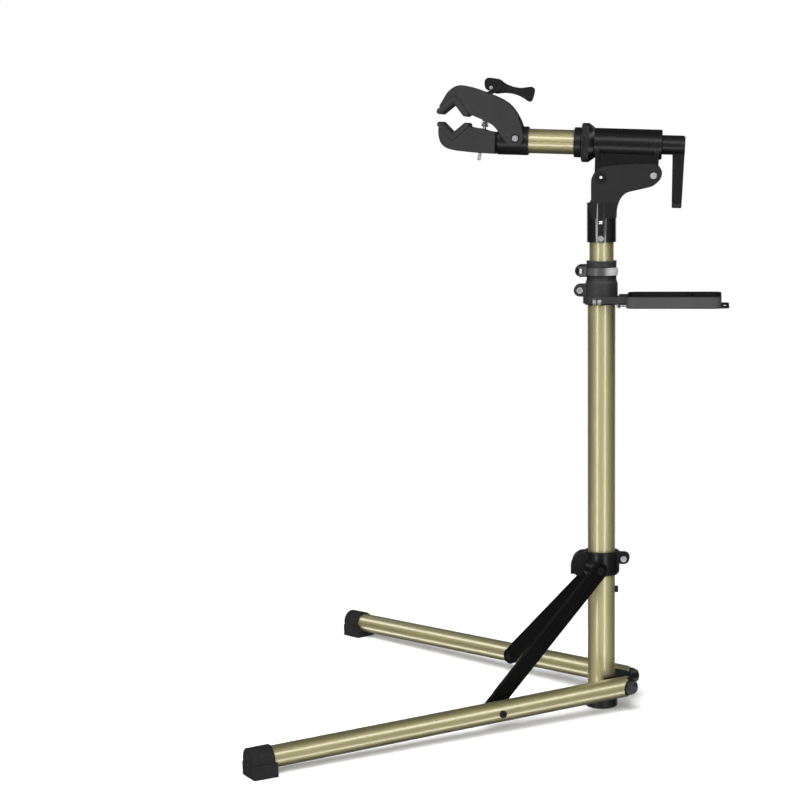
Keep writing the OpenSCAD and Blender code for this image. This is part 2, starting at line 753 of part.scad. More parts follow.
// the stiff part of a vee, without its inner liner: s = -1 opens down, 1 opens up
module vee_core(p, r, s) {
    out = [for (i = [1, 2]) p[i] + 0.3 * (p[i] - p[0])];
    intersection() {
        vee(p, r);
        translate([0, -s * liner_drop]) vee([p[0], out[0], out[1]], r);
    }
}
module vee_liner(p, r, s) {
    difference() {
        vee(p, r);
        vee_core(p, r, s);
    }
}
module lower_jaw_outline() {
    polygon(concat(
        curve([[-234.6, 14], [-234, 4], [-230.4, -6.4], [-222.6, -13], [-211, -16.2], [-196, -17.6],
            [-180, -18.8], [-152.6, -19.7]]),
        [[-152.6, 11.2]],
        curve([[-165, 12.9], [-173, 15.4], [-184, 16.7], [-191.5, 18.2]]),
        [[-195.3, 19.6], [-214.5, 4], [-232.6, 20.1]]
    ));
}
module clamp_sleeve() {
    color([0.08, 0.08, 0.08]) on_arm() difference() {
        union() {
            bar_x(sleeve_r, sleeve_x0 + 0.4, sleeve_x1 - 1);
            bar_x(sleeve_r - 0.8, sleeve_x1 - 1, sleeve_x1);
            bar_x(sleeve_r - 3.6, -156, sleeve_x0 + 1);
        }
        bar_x(inner_r, arm_x0, 0);
        bar_x(inner_in - 3, -160, 0);
        translate([jaw_pivot[0], 0, jaw_pivot[1]]) bar_y(3, -30, 30);
        // top of the spigot stays below the upper jaw
        translate([-160, -30, 10.5]) cube([9, 60, 20]);
    }
}
module lower_jaw() {
    color([0.16, 0.16, 0.16]) on_arm() difference() {
        slab(jaw_half) lower_jaw_outline();
        slab(jaw_half + 1) vee(vee_low, vee_low_t);
        bar_x(sleeve_r - 3.6, -156, -100);
        // slot for the drawbar's swing
        translate([-191.5, -rod_d / 2 - 0.8, -30]) cube([26, rod_d + 1.6, 60]);
        // lightening pocket underneath
        translate([-164, -jaw_half + 5, -14]) cube([7.6, 2 * jaw_half - 10, 22]);
    }
}
module lower_vee() {
    color([0.17, 0.17, 0.17]) on_arm() difference() {
        slab(jaw_half + 1.4) vee_core(vee_low, vee_low_t, 1);
        translate([-191.5, -rod_d / 2 - 0.8, -30]) cube([26, rod_d + 1.6, 60]);
    }
}
module lower_pad() {
    color([0.04, 0.04, 0.04]) on_arm() slab(jaw_half + 0.6) vee_liner(vee_low, vee_low_t, 1);
}
module jaw_bolt() {
    color([0.78, 0.78, 0.80]) on_arm() translate([jaw_pivot[0], 0, jaw_pivot[1]]) {
        difference() {
            union() {
                bar_y(3, -jaw_half + 1.4, jaw_half - 1.4);
                bar_y(4.4, -jaw_half - 0.6, -jaw_half + 2);
                bar_y(4.4, jaw_half - 2, jaw_half + 0.6);
            }
            hex_y(3.4, -jaw_half - 3, -jaw_half + 1);
        }
    }
}
well_r = 15;
well_half = 8.6;
spring_r = 5.2;
spring_z = -40.8;
module upper_outline() {
    polygon(concat(
        curve([[-112.6, 5.5], [-114.3, 15], [-117.6, 25], [-121.5, 33], [-127, 41.8], [-134.9, 50.8],
            [-144, 57], [-154.9, 62.3], [-175, 69.5], [-189.3, 74], [-200, 76.1], [-208, 75.8], [-215.5, 72.5],
            [-223.5, 65.1], [-229.3, 55], [-234, 47]]),
        [[-233.4, 38.6], [-212.8, 54], [-196.6, 36.2]],
        curve([[-190, 35.2], [-176.2, 30], [-165, 25.2], [-157, 20.9], [-150.6, 14.6], [-144.5, 6.3],
            [-137.3, -2.2], [-131.4, -6.8], [-124.4, -8.8], [-117.6, -6.6], [-113.4, -0.8], [-112.6, 5.5]])
    ));
}
module upper_jaw() {
    color([0.16, 0.16, 0.16]) on_arm() difference() {
        slab(jaw_half) upper_outline();
        slab(jaw_half + 1) vee(vee_up, vee_t);
        // space for the sleeve between the two ears
        slab(sleeve_r + gap) union() {
            translate([-152, -30]) square([60, 30 + sleeve_r + 3]);
            translate([jaw_pivot[0], jaw_pivot[1]]) circle(r = 30);
        }
        translate([jaw_pivot[0], 0, jaw_pivot[1]]) {
            bar_y(3 + fit, -40, 40);
            bar_y(5.6, -40, -jaw_half + 2.4);
            bar_y(5.6, jaw_half - 2.4, 40);
        }
        // well that the cam turns in, and the rod's hole
        translate([cam_at[0], 0, cam_at[1]]) bar_y(well_r, -well_half, well_half);
        translate([cam_at[0], 0, cam_at[1]]) rotate([0, rod_a, 0])
            union() {
                translate([0, 0, -80]) cylinder(r = rod_d / 2 + gap, h = 80);
                // pocket of the opening spring
                translate([0, 0, -80]) cylinder(r = spring_r + gap, h = 80 + spring_z + gap);
            }
        // seat of the saddle plate
        translate([cam_at[0], 0, cam_at[1]]) rotate([0, -17.5, 0])
            translate([-11, -12.6, -8.2]) cube([22, 25.2, 30]);
    }
}
module upper_vee() {
    color([0.17, 0.17, 0.17]) on_arm() slab(jaw_half + 1.4) vee_core(vee_up, vee_t, -1);
}
module upper_pad() {
    color([0.04, 0.04, 0.04]) on_arm() slab(jaw_half + 0.6) vee_liner(vee_up, vee_t, -1);
}
module saddle_plate() {
    color([0.09, 0.09, 0.09]) on_arm() translate([cam_at[0], 0, cam_at[1]]) rotate([0, -17.5, 0])
        difference() {
            translate([-10.8, -12.4, -8.2]) cube([21.6, 24.8, 4]);
            translate([-15, -well_half, -10]) cube([30, 2 * well_half, 10]);
            translate([0, 0, -20]) cylinder(r = well_half, h = 40);
        }
}
module drawbar() {
    color([0.80, 0.80, 0.82]) on_arm() translate([cam_at[0], 0, cam_at[1]]) rotate([0, rod_a, 0])
        difference() {
            union() {
                translate([0, 0, -rod_len]) cylinder(r = rod_d / 2, h = rod_len - 3);
                bar_y(4.4, -3, 3);
            }
            bar_y(2.5 + fit, -10, 10, $fn = 32);
        }
}
spring_n = 7;
spring_wire = 0.6;
module jaw_spring() {
    color([0.7, 0.7, 0.72]) on_arm() translate([cam_at[0], 0, cam_at[1]]) rotate([0, rod_a, 0])
        for (i = [0 : spring_n - 1]) translate([0, 0, spring_z - spring_wire - i * 2.35])
            rotate_extrude() translate([spring_r - spring_wire, 0]) circle(r = spring_wire, $fn = 16);
}
module cam_outline() {
    polygon(concat(
        curve([[-172.3, 80.4], [-171.6, 84.6], [-168.6, 87.6], [-164.6, 88.3], [-158, 87.6], [-151.3, 86.6],
            [-146.5, 83.6], [-140.6, 79.9], [-131, 76.6], [-119.8, 75.1], [-110, 76.4], [-104.4, 77]]),
        curve([[-104.4, 77], [-101, 74.6], [-100.4, 70.6], [-101.4, 65], [-103.4, 58.6], [-105.6, 56],
            [-108.8, 56.2], [-114.4, 59.8], [-122.2, 63.6], [-131.2, 66.2], [-141.1, 67.2], [-149, 66.6],
            [-155.5, 66], [-159.4, 68], [-162.6, 69.5], [-167.4, 70.4], [-171, 74], [-172.3, 80.4]])
    ));
}
module cam_lever() {
    color([0.06, 0.06, 0.06]) on_arm() difference() {
        union() {
            slab(5.2) cam_outline();
            slab(8) intersection() {
                cam_outline();
                translate([-185, 50]) square([38, 50]);
            }
            slab(6.6) intersection() {
                cam_outline();
                translate([-113, 50]) square([38, 50]);
            }
        }
        // slot for the rod's eye
        slab(3.2) union() {
            translate([-190, 50]) square([26, 60]);
            translate([-190, 50]) square([32, 24]);
            translate(cam_at) circle(r = 5);
        }
        translate([cam_at[0], 0, cam_at[1]]) bar_y(2.5, -20, 20, $fn = 32);
    }
}
module cam_pin() {
    color([0.85, 0.85, 0.87]) on_arm() translate([cam_at[0], 0, cam_at[1]])
        bar_y(2.5, -8.3, 8.3, $fn = 32);
}

// tray -----------------------------------------------------------------
strap_in = ring_seat_r + 0.05;
strap_z0 = 596.6;
strap_z1 = 605.8;
tray_screw_y = [-26, 26];
tray_screw_z = tray_z0 + 3.2;
module rounded_rect(x0, x1, half, r) {
    translate([x0 + r, -half]) square([x1 - x0 - 2 * r, 2 * half]);
    translate([x0, -half + r]) square([x1 - x0, 2 * half - 2 * r]);
    for (x = [x0 + r, x1 - r], y = [-half + r, half - r]) translate([x, y]) circle(r = r);
}
module tray_pan() {
    tx1 = tray_x0 + tray_l;
    color([0.09, 0.09, 0.09]) difference() {
        union() {
            translate([0, 0, tray_z0]) linear_extrude(tray_h) rounded_rect(tray_x0, tx1, tray_w / 2, 12);
            translate([0, 0, tray_z0]) linear_extrude(1.8) intersection() {
                rounded_rect(tray_x0 + 20, tx1 + 11, tray_w / 2 - 6, 10);
                translate([tray_x0 + 40, -80]) square([200, 160]);
            }
            translate([tx1 - 27, 0, tray_z0]) cylinder(r = 6, h = 3, center = true);
        }
        translate([0, 0, tray_z0 + 2.2]) linear_extrude(tray_h)
            rounded_rect(tray_x0 + 2.4, tray_x0 + 88, tray_w / 2 - 2.4, 10);
        translate([0, 0, tray_z0 + 2.2]) linear_extrude(tray_h)
            rounded_rect(tray_x0 + 90.4, tx1 - 2.4, tray_w / 2 - 2.4, 10);
        translate([tx1 + 5, 0, tray_z0 - 1]) linear_extrude(5) {
            translate([-2, -14]) square([4, 28]);
            translate([0, -14]) circle(r = 2);
            translate([0, 14]) circle(r = 2);
        }
        for (y = tray_screw_y) translate([0, y, tray_screw_z]) bar_x(2.5, tray_x0 - 1, tray_x0 + 2.2);
    }
}
tray_bolt_at = [-31.3, strap_z0 + 4.6];
strap_ear = [-5.9, -3.9];
strap_arm = [1.9, 598.4, 607.2];
strap_y0 = -35.6;
strap_lug = [25.4, 27.8];
strap_af = 9;
module tray_strap() {
    arm_h = strap_arm[2] - strap_arm[1];
    color([0.08, 0.08, 0.08]) difference() {
        union() {
            tube_z(strap_in + 2, strap_in, strap_z0, strap_z1);
            // thin closing ear
            translate([strap_ear[0], strap_y0, strap_z0])
                cube([strap_ear[1] - strap_ear[0], 10.6, strap_z1 - strap_z0]);
            // arm to the tray and its cross bar
            translate([strap_arm[0], strap_y0, strap_arm[1]]) cube([24, 10.1, arm_h]);
            translate([24.4, strap_y0, strap_arm[1]]) cube([tray_x0 - gap / 2 - 24.4, -strap_y0 + 30, arm_h]);
            // lugs of the tray's screws
            for (y = tray_screw_y) translate([0, y, tray_screw_z]) {
                bar_x(4.4, strap_lug[0], strap_lug[1]);
                translate([strap_lug[0], -4.4, 0]) cube([strap_lug[1] - strap_lug[0], 8.8, 5]);
            }
        }
        translate([0, 0, strap_z0 - 3]) cylinder(r = strap_in, h = 20);
        translate([strap_ear[1], -40, strap_z0 - 1]) cube([strap_arm[0] - strap_ear[1], 24, 20]);
        // window in the cross bar
        translate([29.4, -18, strap_z0 - 3]) cube([4.2, 36, 20]);
        translate([0, tray_bolt_at[0], tray_bolt_at[1]]) bar_x(2.5, -20, 14);
        for (y = tray_screw_y) translate([0, y, tray_screw_z]) bar_x(2.5, 20, 40);
    }
}
// bolt that closes the strap, with its head and a lock nut
module tray_bolt() {
    color([0.62, 0.62, 0.64]) translate([0, tray_bolt_at[0], tray_bolt_at[1]]) {
        bar_x(2.5, -8, 13);
        for (x = [-10.6, strap_ear[1]]) translate([x, 0, 0])
            rotate([0, 90, 0]) cylinder(r = strap_af / sqrt(3), h = 4.6, $fn = 6);
    }
}
module tray_screws() {
    color([0.78, 0.78, 0.80]) for (y = tray_screw_y) translate([0, y, tray_screw_z]) {
        bar_x(2.5, strap_lug[0], tray_x0 + 2.2);
        bar_x(3.1, strap_lug[0] - 3, strap_lug[0]);
    }
}

module leg_tube_near() { leg_tube(); }
module leg_plug_near() { leg_plug(); }
module leg_foot_near() { leg_foot(); }
module leg_bolt_near() { leg_bolt(); }
module leg_tube_far() { far_side() leg_tube(); }
module leg_plug_far() { far_side() leg_plug(); }
module leg_foot_far() { far_side() leg_foot(); }
module leg_bolt_far() { far_side() leg_bolt(); }
module brace_near() { brace(); }
module brace_nut_near() { brace_nut(); }
module brace_far() { far_side() brace(); }
module brace_nut_far() { far_side() brace_nut(); }
mast_tube();
mast_foot();
hub_block();
hub_screws();
pivot_bolts();
stop_screw();
collar();
collar_screw();
qr_bolt();
qr_washer();
qr_pin();
qr_nut();
qr_lever();
leg_tube_near();
leg_plug_near();
leg_foot_near();
leg_bolt_near();
leg_tube_far();
leg_plug_far();
leg_foot_far();
leg_bolt_far();
slider_collar();
slider_screw();
brace_screws();
brace_near();
brace_nut_near();
brace_far();
brace_nut_far();
guide_bush();
inner_tube();
tube_plug();
head_fork();
fork_rivets();
yoke_bolt_front();
yoke_bolt_rear();
barrel();
lock_ring();
crank();
crank_cap();
crank_spindle();
arm_tube();
front_collar();
clamp_sleeve();
lower_jaw();
lower_vee();
lower_pad();
jaw_bolt();
upper_jaw();
upper_vee();
upper_pad();
saddle_plate();
drawbar();
jaw_spring();
cam_lever();
cam_pin();
tray_pan();
tray_strap();
tray_bolt();
tray_screws();
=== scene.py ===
"""Looks of the folding bipod repair stand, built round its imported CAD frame. Metres."""
import math

import bpy
import bmesh
from mathutils import Matrix, Vector


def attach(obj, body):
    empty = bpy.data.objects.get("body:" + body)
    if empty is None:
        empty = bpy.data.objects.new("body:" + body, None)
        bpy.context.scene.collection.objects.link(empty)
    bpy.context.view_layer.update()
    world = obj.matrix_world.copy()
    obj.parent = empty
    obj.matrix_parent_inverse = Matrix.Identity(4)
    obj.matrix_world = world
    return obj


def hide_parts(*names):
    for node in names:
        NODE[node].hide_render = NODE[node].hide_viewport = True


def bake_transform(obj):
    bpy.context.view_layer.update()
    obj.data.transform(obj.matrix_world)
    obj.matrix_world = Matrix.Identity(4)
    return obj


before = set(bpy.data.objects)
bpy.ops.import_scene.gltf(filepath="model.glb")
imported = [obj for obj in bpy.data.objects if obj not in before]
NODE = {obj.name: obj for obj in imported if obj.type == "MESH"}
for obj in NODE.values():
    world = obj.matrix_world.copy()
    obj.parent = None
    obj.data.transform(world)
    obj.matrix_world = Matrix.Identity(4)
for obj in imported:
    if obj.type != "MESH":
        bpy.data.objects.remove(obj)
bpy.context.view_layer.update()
MM = 0.001
RAD = math.pi / 180

# the object's frames, as the CAD has them
YOKE_Z = 0.7775  # height of the yoke's front bolt, which the head tilts round
ARM_RISE = 0.0481  # from that bolt to the arm's axis
TILT_A = 2.33 * RAD  # rise of the arm towards the clamp, at rest
ARM = (Matrix.Translation((0, 0, YOKE_Z)) @ Matrix.Rotation(TILT_A, 4, "Y")
       @ Matrix.Translation((0, 0, ARM_RISE)))
# places in the arm's frame: the jaw's pivot, the cam's pin and the drawbar's lower end
JAW_PIVOT = Vector((-123.9, 0, 3.1)) * MM
CAM_AT = Vector((-162.5, 0, 74.2)) * MM
ROD_END = Vector((-177.6, 0, -29.7)) * MM
ROD_A = math.atan2(CAM_AT.x - ROD_END.x, CAM_AT.z - ROD_END.z)
ROD_LEN = (CAM_AT - ROD_END).length
# the drawbar's frame, with its origin at the cam's pin and Z up the rod
ROD = ARM @ Matrix.Translation(CAM_AT) @ Matrix.Rotation(ROD_A, 4, "Y")
LEG_A = 37.5 * RAD  # spread of each leg from -X
LEG_FALL = 0.0245  # slope of a leg down to its foot
SLEEVE_Z = (0.7385, 0.7425)  # where the fork's round sleeve passes into its flat cheeks


# ---------------------------------------------------------------- camera
CAMERA_AT = (0.1502, -2.9413, 0.8353)
YAW, PITCH, ROLL = -0.1506, -0.1278, -0.0124  # radians
SENSOR_MM, LENS_MM = 36, 91.5


def add_camera():
    data = bpy.data.cameras.new("photo_camera")
    data.sensor_width = SENSOR_MM
    data.lens = LENS_MM
    data.clip_start, data.clip_end = 0.05, 60
    cam = bpy.data.objects.new("photo_camera", data)
    ahead = Vector((math.sin(YAW) * math.cos(PITCH), math.cos(YAW) * math.cos(PITCH),
                    math.sin(PITCH)))
    side = Vector((math.cos(YAW), -math.sin(YAW), 0))
    up = side.cross(ahead)
    right = side * math.cos(ROLL) + up * math.sin(ROLL)
    top = up * math.cos(ROLL) - side * math.sin(ROLL)
    turn = Matrix((right, top, -ahead)).transposed().to_4x4()
    cam.matrix_world = Matrix.Translation(CAMERA_AT) @ turn
    bpy.context.scene.collection.objects.link(cam)
    bpy.context.scene.camera = cam


# ---------------------------------------------------------------- node helpers
class Graph:
    """Short names for building a node tree."""

    def __init__(self, tree):
        self.tree = tree
        tree.nodes.clear()

    def feed(self, socket, value):
        """Links a socket to another node's output, or sets it to a plain value."""
        if isinstance(value, bpy.types.NodeSocket):
            self.tree.links.new(value, socket)
        else:
            socket.default_value = value

    def node(self, kind, inputs=None, **props):
        n = self.tree.nodes.new("ShaderNode" + kind)
        for k, v in props.items():
            setattr(n, k, v)
        for k, v in (inputs or {}).items():
            self.feed(n.inputs[k], v)
        return n

    def math(self, op, a, b=0.0):
        return self.node("Math", {0: a, 1: b}, operation=op).outputs[0]

    def product(self, *values):
        out = values[0]
        for v in values[1:]:
            out = self.math("MULTIPLY", out, v)
        return out

    def span(self, value, lo, hi, to_lo=0.0, to_hi=1.0, smooth=False):
        """Maps lo..hi to to_lo..to_hi, and stays at these outside."""
        kind = "SMOOTHSTEP" if smooth else "LINEAR"
        return self.node("MapRange", {0: value, 1: lo, 2: hi, 3: to_lo, 4: to_hi},
                         interpolation_type=kind).outputs[0]

    def noise(self, vector, scale, detail=3.0, rough=0.5):
        return self.node("TexNoise", {"Vector": vector, "Scale": scale, "Detail": detail,
                                      "Roughness": rough}).outputs["Fac"]

    def mix(self, fac, a, b, kind="RGBA"):
        n = self.node("Mix", data_type=kind)
        slots = (0, 6, 7, 2) if kind == "RGBA" else (0, 2, 3, 0)
        for i, v in zip(slots, (fac, a, b)):
            self.feed(n.inputs[i], v)
        return n.outputs[slots[3]]

    def xyz(self, vector):
        return self.node("SeparateXYZ", {0: vector}).outputs

    def from_y_line(self, place, x, z):
        """Distance from the line along Y through x and z."""
        flat = self.node("VectorMath", {0: place, 1: (1, 0, 1)}, operation="MULTIPLY").outputs[0]
        return self.node("VectorMath", {0: flat, 1: (x, 0, z)},
                         operation="DISTANCE").outputs["Value"]

    def change(self, shader, name, remake):
        """Puts what remake makes of an input's present source in that source's place."""
        socket = shader.inputs[name]
        self.tree.links.new(remake(socket.links[0].from_socket), socket)


def rgb(r, g, b):
    return (r, g, b, 1.0)


def grey(value, blue=None):
    """A neutral colour, or a nearly neutral one with its own blue."""
    return (value, value, value if blue is None else blue)


def along(axis):
    """Euler that turns Z to the axis."""
    return Vector(axis).to_track_quat("Z", "Y").to_euler()


# ---------------------------------------------------------------- materials
IOR = 1.5  # of every base, and of a coat that has no other
# how a surface reads its noises
PATCH_BAND = (0.35, 0.65)  # from the first colour to the second
GRAIN_BAND = (0.3, 0.7)  # from no grain to full grain
SMUDGE_BAND = (0.52, 0.72)  # only the stronger smudges show
SCUFF_BAND = (0.4, 0.62)  # breaks the worn edges up
EDGE_BAND = (0.995, 0.9)  # cosine between the rounded and the plain normal
GRAIN_SHADE, GRAIN_SHARE = 0.55, 0.16  # how dark the grain is, and how much it counts
SMUDGE_ROUGH = 0.06  # roughness that a smudge adds
ROUGH_SCALE = 0.23  # scale of the roughness noise, of the grain's
SMUDGE_SCALE = 2.7  # scale of the smudges, of the blotches'
SCUFF_SCALE = 170.0


def surface(name, c0, c1, rough, *, blotch, grain, bump, depth, metal=0.0, spec=0.5, coat=0.0,
            coat_rough=0.1, coat_ior=IOR, axis=None, stretch=1.0, edge_wear_and_shade=None, edge_amount=0.5,
            edge_width=0.0008, even_edge=False, extra=None):
    """A noise-driven Principled material: blotches of two colours, grain bump, roughness that
    varies, and edges in a colour of their own where one is given: worn edges on most
    materials, painted shade along the vee pads' edges. An axis draws the grain out along
    it, and extra takes the graph, the shader and the place to change it further."""
    m = bpy.data.materials.new(name)
    m.use_nodes = True
    g = Graph(m.node_tree)
    place = g.node("TexCoord").outputs["Object"]
    fine = place
    if axis is not None:
        fine = g.node("Mapping", {"Vector": place, "Rotation": along(axis),
                                  "Scale": (1, 1, stretch)}, vector_type="TEXTURE").outputs[0]
    patches = g.noise(place, blotch, 4.0, 0.6)
    colour = g.mix(g.span(patches, *PATCH_BAND), rgb(*c0), rgb(*c1))
    grit = g.noise(fine, grain, 3.0, 0.65)
    colour = g.mix(g.span(grit, *GRAIN_BAND, 0.0, GRAIN_SHARE), colour,
                   rgb(*[v * GRAIN_SHADE for v in c0]))
    roughness = g.span(g.noise(fine, grain * ROUGH_SCALE, 2.0), *GRAIN_BAND, *rough)
    smudge = g.noise(place, blotch * SMUDGE_SCALE, 3.0, 0.7)
    roughness = g.math("ADD", roughness, g.span(smudge, *SMUDGE_BAND, 0.0, SMUDGE_ROUGH))
    # edges in their own colour: worn edges, and painted shade on the vee pads
    if edge_wear_and_shade is not None:
        rounded = g.node("Bevel", {"Radius": edge_width}, samples=4).outputs[0]
        plain = g.node("NewGeometry").outputs["Normal"]
        turn = g.node("VectorMath", {0: rounded, 1: plain},
                      operation="DOT_PRODUCT").outputs["Value"]
        edge = g.span(turn, *EDGE_BAND)
        scuff = 1.0 if even_edge else g.span(g.noise(place, SCUFF_SCALE, 4.0, 0.7), *SCUFF_BAND)
        colour = g.mix(g.product(edge, scuff, edge_amount), colour, rgb(*edge_wear_and_shade))
    height = g.node("Bump", {"Strength": bump, "Distance": depth, "Height": grit}).outputs[0]
    p = g.node("BsdfPrincipled", {
        "Base Color": colour, "Roughness": roughness, "Metallic": metal, "IOR": IOR,
        "Specular IOR Level": spec, "Coat Weight": coat, "Coat Roughness": coat_rough,
        "Coat IOR": coat_ior, "Normal": height})
    if extra is not None:
        extra(g, p, place)
    g.node("OutputMaterial", {"Surface": p.outputs[0]})
    return m


def painted_tip_highlight(g, p, place):
    """Painted highlight: the lever is dark at its root and painted bright towards its free end,
    where it shows a reflection.
    """
    root, highlight_full = 0.004, 0.016  # along X
    bright = g.span(g.xyz(place)["X"], root, highlight_full, smooth=True)
    g.change(p, "Base Color", lambda old: g.mix(bright, rgb(0.035, 0.035, 0.036), old))


def bright_centre(g, p, place):
    """A pale disc on the yoke's front bolt axis, inside its dark hex."""
    paint, metal = 0.0024, 0.0017  # radii
    bare = g.span(g.from_y_line(place, 0, YOKE_Z), paint, metal, smooth=True)
    g.change(p, "Base Color", lambda old: g.mix(bare, old, rgb(0.82, 0.82, 0.84)))


def painted_seat_shade(g, p, place):
    """Painted shade in the seats of the jaw's pivot bolt, where the seat wall is in shadow."""
    unshaded, shaded = 0.0062, 0.0056  # radii
    centre = ARM @ JAW_PIVOT
    seat = g.span(g.from_y_line(place, centre.x, centre.z), unshaded, shaded, smooth=True)
    g.change(p, "Base Color", lambda old: g.mix(seat, old, rgb(*grey(0.0008))))


def painted_tray_light_and_shade(g, p, place):
    """Painted light and shade: the tray's outer walls are painted grey as if lit from the front,
    its rim, inside and end tab are painted black as shade.
    """
    middle_x, flat_x, flat_y = 0.104, 0.055, 0.038  # the pan without its rounded corners
    inner, outer = (0.0112, 0.0116), (0.0126, 0.0122)  # the wall's two faces, out from there
    rim, foot = (0.6086, 0.6079), (0.5924, 0.5940)  # heights
    x, y, z = g.xyz(place)

    def past(value, flat):
        return g.math("MAXIMUM", g.math("SUBTRACT", g.math("ABSOLUTE", value), flat), 0.0)

    dx = past(g.math("SUBTRACT", x, middle_x), flat_x)
    dy = past(y, flat_y)
    out = g.math("SQRT", g.math("ADD", g.product(dx, dx), g.product(dy, dy)))
    wall = g.product(g.span(out, *inner), g.span(out, *outer), g.span(z, *rim, smooth=True),
                     g.span(z, *foot, smooth=True))
    # painted light and shade: the outer walls keep the lit grey, everything else is painted
    # black
    g.change(p, "Base Color", lambda old: g.mix(wall, rgb(*grey(0.004)), old))


def glossy_sleeve_painted_shade(g, p, place):
    """The fork's tube part is glossier than its flat cheeks, and its base colour is painted
    darker there as shade.
    """
    gloss_and_shade = g.span(g.xyz(place)["Z"], *SLEEVE_Z, 1.0, 0.0, smooth=True)
    g.change(p, "Roughness", lambda old: g.mix(gloss_and_shade, old, 0.2, kind="FLOAT"))
    # painted shade: the sleeve's base colour is darkened
    g.change(p, "Base Color", lambda old: g.mix(gloss_and_shade, old, rgb(*grey(0.0012, 0.0013))))
    g.feed(p.inputs["Coat Weight"], gloss_and_shade)


def anodised(name, axis):
    """Champagne anodised aluminium with a drawn grain along the tube's axis."""
    return surface(name, (0.68, 0.618, 0.338), (0.64, 0.582, 0.318), (0.535, 0.565), metal=1.0,
                   coat=1.0, coat_rough=0.12, coat_ior=1.9, blotch=5.0, grain=1500.0,
                   bump=0.03, depth=0.00006, axis=axis, stretch=60.0)


def leg_axis(side):
    """From the mast to a leg's foot. The side is 1 for the near leg and -1 for the far one."""
    return (-math.cos(LEG_A), -side * math.sin(LEG_A), -LEG_FALL)


GOLD = anodised("gold_upright", (0, 0, 1))
GOLD_ARM = anodised("gold_arm", (math.cos(TILT_A), 0, -math.sin(TILT_A)))
GOLD_NEAR = anodised("gold_near_leg", leg_axis(1))
GOLD_FAR = anodised("gold_far_leg", leg_axis(-1))

# both jaws have the same coat
COAT = dict(c0=grey(0.0145), c1=grey(0.0120, 0.0124), rough=(0.42, 0.56), spec=0.3,
            blotch=30.0, grain=2200.0, bump=0.16, depth=0.00012, edge_wear_and_shade=grey(0.006))
CASTING = surface("charcoal_coat", **COAT)
JAW = surface("charcoal_coat_jaw", extra=painted_seat_shade, **COAT)
# painted shade: the near-black edge colour draws a dark outline round the pads' raised edges
VEE = surface("vee_rubber", grey(0.0160), grey(0.0132, 0.0136), (0.42, 0.56), spec=0.3,
              blotch=45.0, grain=1800.0, bump=0.14, depth=0.00012, edge_wear_and_shade=grey(0.001),
              edge_amount=0.95, edge_width=0.0013, even_edge=True)
SATIN = surface("satin_black_coat", grey(0.0026, 0.0028), grey(0.0018, 0.0020), (0.27, 0.36),
                spec=0.42, blotch=25.0, grain=1800.0, bump=0.10, depth=0.0001,
                edge_wear_and_shade=grey(0.06), edge_amount=0.4)
FORK = surface("fork_paint", grey(0.0082, 0.0084), grey(0.0069, 0.0071), (0.40, 0.50),
               spec=0.3, blotch=25.0, grain=1800.0, bump=0.08, depth=0.0001, coat_rough=0.06,
               coat_ior=1.9, edge_wear_and_shade=grey(0.08), edge_amount=0.4, extra=glossy_sleeve_painted_shade)
PLASTIC = surface("moulded_black", grey(0.0042, 0.0044), grey(0.0030, 0.0032), (0.28, 0.40),
                  spec=0.38, blotch=40.0, grain=1300.0, bump=0.16, depth=0.00015,
                  edge_wear_and_shade=grey(0.035))
STRAP = surface("strap_plastic", grey(0.0175, 0.0179), grey(0.0150, 0.0154), (0.42, 0.54),
                spec=0.3, blotch=34.0, grain=1300.0, bump=0.16, depth=0.00015,
                edge_wear_and_shade=grey(0.10))
# painted light: this grey base is the front-lit look of the tray's outer walls, the rest is
# painted black as shade
TRAY = surface("tray_plastic", grey(0.0370, 0.0374), grey(0.0330, 0.0334), (0.46, 0.58),
               spec=0.25, blotch=34.0, grain=1300.0, bump=0.16, depth=0.00015,
               extra=painted_tray_light_and_shade)
RUBBER = surface("black_rubber", grey(0.0098), grey(0.0072), (0.60, 0.78), spec=0.25,
                 blotch=50.0, grain=900.0, bump=0.22, depth=0.0002,
                 edge_wear_and_shade=grey(0.04, 0.038), edge_amount=0.7)
# painted shade: a darker copy of the black rubber for the mast foot, which sits in shadow
SHADED_RUBBER = surface("rubber_painted_shade", grey(0.0045), grey(0.003), (0.34, 0.48), spec=0.35,
              blotch=60.0, grain=1500.0, bump=0.12, depth=0.0001)
BRACE = surface("brace_paint", grey(0.0014), grey(0.0010), (0.40, 0.50), spec=0.12,
                blotch=18.0, grain=2400.0, bump=0.06, depth=0.00008)
RING = surface("knurled_black", grey(0.0018, 0.0020), grey(0.0012, 0.0014), (0.25, 0.33),
               spec=0.45, blotch=40.0, grain=1300.0, bump=0.08, depth=0.0001,
               edge_wear_and_shade=grey(0.03), edge_width=0.0004)
OXIDE = surface("black_oxide", grey(0.030, 0.032), grey(0.018, 0.020), (0.28, 0.42), metal=0.8,
                blotch=90.0, grain=2600.0, bump=0.1, depth=0.00008,
                edge_wear_and_shade=grey(0.22), edge_amount=0.6, edge_width=0.0005)
YOKE = surface("yoke_bolt_finish", grey(0.005), grey(0.003), (0.30, 0.40), spec=0.3,
               blotch=90.0, grain=2600.0, bump=0.1, depth=0.00008, extra=bright_centre)
BOLT = surface("dull_zinc", grey(0.22, 0.23), grey(0.17, 0.18), (0.28, 0.40), metal=1.0,
               blotch=90.0, grain=2600.0, bump=0.1, depth=0.00008,
               edge_wear_and_shade=grey(0.40), edge_amount=0.6, edge_width=0.0005)
STEEL = surface("bright_zinc", grey(0.88, 0.90), grey(0.80, 0.83), (0.32, 0.44), metal=1.0,
                blotch=120.0, grain=2600.0, bump=0.06, depth=0.00006)
